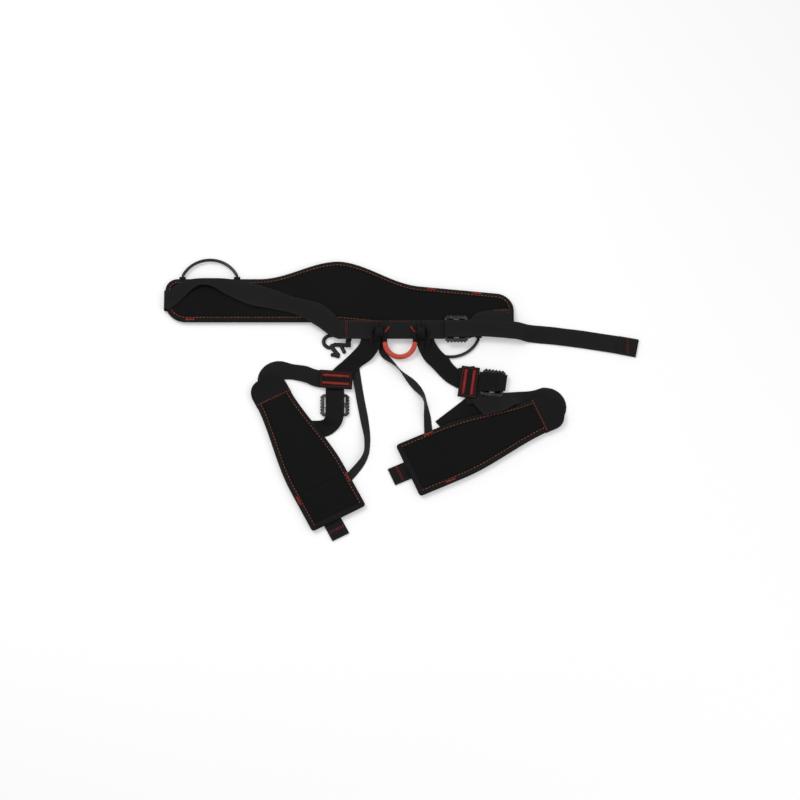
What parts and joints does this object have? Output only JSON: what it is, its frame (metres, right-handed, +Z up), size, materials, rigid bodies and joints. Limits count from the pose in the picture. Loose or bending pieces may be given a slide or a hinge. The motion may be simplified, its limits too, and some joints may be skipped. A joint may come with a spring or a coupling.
{
  "type": "safety harness",
  "caption": "Half-body sit harness laid flat: padded waist belt, two padded leg loops, webbing, bar buckles, belay bridge and gear loops",
  "frame": {"origin": "on the ground under the middle of the harness's outline, as it lies flat", "axes": "+X along the waist pad towards its loose tail, +Y from the leg loops to the waist pad, +Z up"},
  "size_m": [1.026, 0.653, 0.0353],
  "materials": {
    "pad_shell": "tight plain weave, matt",
    "pad_lining": "soft spacer knit, matt",
    "foam": "closed-cell foam, matt",
    "edge_tape": "folded binding tape, fine rib",
    "webbing": "flat tubular polyester webbing, slight sheen",
    "elastic": "ribbed elastic tape",
    "buckle_steel": "dark plated pressed steel",
    "bar_steel": "knurled plated steel",
    "red_sleeve": "woven tubular sleeve",
    "glossy_tube": "extruded glossy tube",
    "loop_cord": "braided cord",
    "hook_plastic": "moulded acetal, fine texture"
  },
  "bodies": {
    "waist": {"waist_pad_shell": "pad_shell", "waist_pad_foam": "foam", "waist_pad_lining": "pad_lining", "waist_pad_binding": "edge_tape", "waist_outer_webbing": "webbing", "waist_left_fold": "webbing", "waist_webbing_left": "webbing", "waist_webbing_front": "webbing", "waist_webbing_right": "webbing", "waist_tail_root": "webbing", "waist_buckle_frame": "buckle_steel", "tie_in_eye_left": "webbing", "tie_in_eye_right": "webbing", "riser_hook_tab": "webbing", "leg_left_tie_strap_upper": "webbing", "leg_left_riser_upper": "elastic", "leg_right_tie_strap_upper": "webbing", "leg_right_riser_upper": "elastic"},
    "waist_bar": {"waist_buckle_bar": "bar_steel"},
    "waist_tail": {"waist_tail_end": "webbing"},
    "belay_bridge": {"bridge_webbing": "webbing", "bridge_sleeve": "red_sleeve"},
    "gear_loop_left": {"gear_loop_left_tube": "glossy_tube", "gear_loop_left_core": "loop_cord", "gear_loop_left_tabs": "webbing"},
    "gear_loop_right": {"gear_loop_right_tube": "glossy_tube", "gear_loop_right_core": "loop_cord", "gear_loop_right_tabs": "webbing"},
    "hook": {"riser_hook": "hook_plastic"},
    "leg_left": {"leg_left_pad_shell": "pad_shell", "leg_left_pad_foam": "foam", "leg_left_pad_lining": "pad_lining", "leg_left_pad_binding": "edge_tape", "leg_left_outer_webbing": "webbing", "leg_left_band": "webbing", "leg_left_stitched_block": "webbing", "leg_left_tie_strap_lower": "webbing", "leg_left_adjuster_strap": "webbing", "leg_left_buckle_frame": "buckle_steel", "leg_left_tail_tab": "webbing", "leg_left_riser_lower": "elastic"},
    "leg_left_bar": {"leg_left_buckle_bar": "bar_steel"},
    "leg_right": {"leg_right_pad_shell": "pad_shell", "leg_right_pad_foam": "foam", "leg_right_pad_lining": "pad_lining", "leg_right_pad_binding": "edge_tape", "leg_right_outer_webbing": "webbing", "leg_right_band": "webbing", "leg_right_stitched_block": "webbing", "leg_right_tie_strap_lower": "webbing", "leg_right_adjuster_strap": "webbing", "leg_right_strap_return": "webbing", "leg_right_buckle_frame": "buckle_steel", "leg_right_tail_tab": "webbing", "leg_right_riser_lower": "elastic"},
    "leg_right_bar": {"leg_right_buckle_bar": "bar_steel"}
  },
  "joints": [
    {"name": "belay_bridge_swing", "type": "hinge", "parent": "waist", "child": "belay_bridge", "pos_m": [-0.00045, 0.14342, 0.0263], "axis": [-1, 0, 0], "range_deg": [0, 150]},
    {"name": "gear_loop_left_flip", "type": "hinge", "parent": "waist", "child": "gear_loop_left", "pos_m": [-0.41445, 0.27757, 0.0123], "axis": [1, 0, 0], "range_deg": [0, 100]},
    {"name": "gear_loop_right_flip", "type": "hinge", "parent": "waist", "child": "gear_loop_right", "pos_m": [0.10705, 0.15052, 0], "axis": [0.9953, -0.0971, 0], "range_deg": [0, 60]},
    {"name": "hook_swivel", "type": "hinge", "parent": "waist", "child": "hook", "pos_m": [-0.11245, 0.12342, 0.003], "axis": [0, 0, 1], "range_deg": [-15, 15]},
    {"name": "waist_tail_fold", "type": "hinge", "parent": "waist", "child": "waist_tail", "pos_m": [0.24855, 0.15242, 0.0198], "axis": [0, -1, 0], "range_deg": [0, 110]},
    {"name": "leg_left_lift", "type": "hinge", "parent": "waist", "child": "leg_left", "pos_m": [-0.10445, 0.07942, 0.005], "axis": [-1, 0, 0], "range_deg": [0, 85]},
    {"name": "leg_right_lift", "type": "hinge", "parent": "waist", "child": "leg_right", "pos_m": [0.08755, 0.07942, 0.0101], "axis": [-1, 0, 0], "range_deg": [0, 85]},
    {"name": "waist_bar_slide", "type": "slide", "parent": "waist", "child": "waist_bar", "axis": [1, 0, 0], "range_m": [-0.004, 0.004]},
    {"name": "leg_left_bar_slide", "type": "slide", "parent": "leg_left", "child": "leg_left_bar", "axis": [0, 1, 0], "range_m": [-0.004, 0.004]},
    {"name": "leg_right_bar_slide", "type": "slide", "parent": "leg_right", "child": "leg_right_bar", "axis": [0.9903, -0.1392, 0], "range_m": [-0.004, 0.004]}
  ]
}
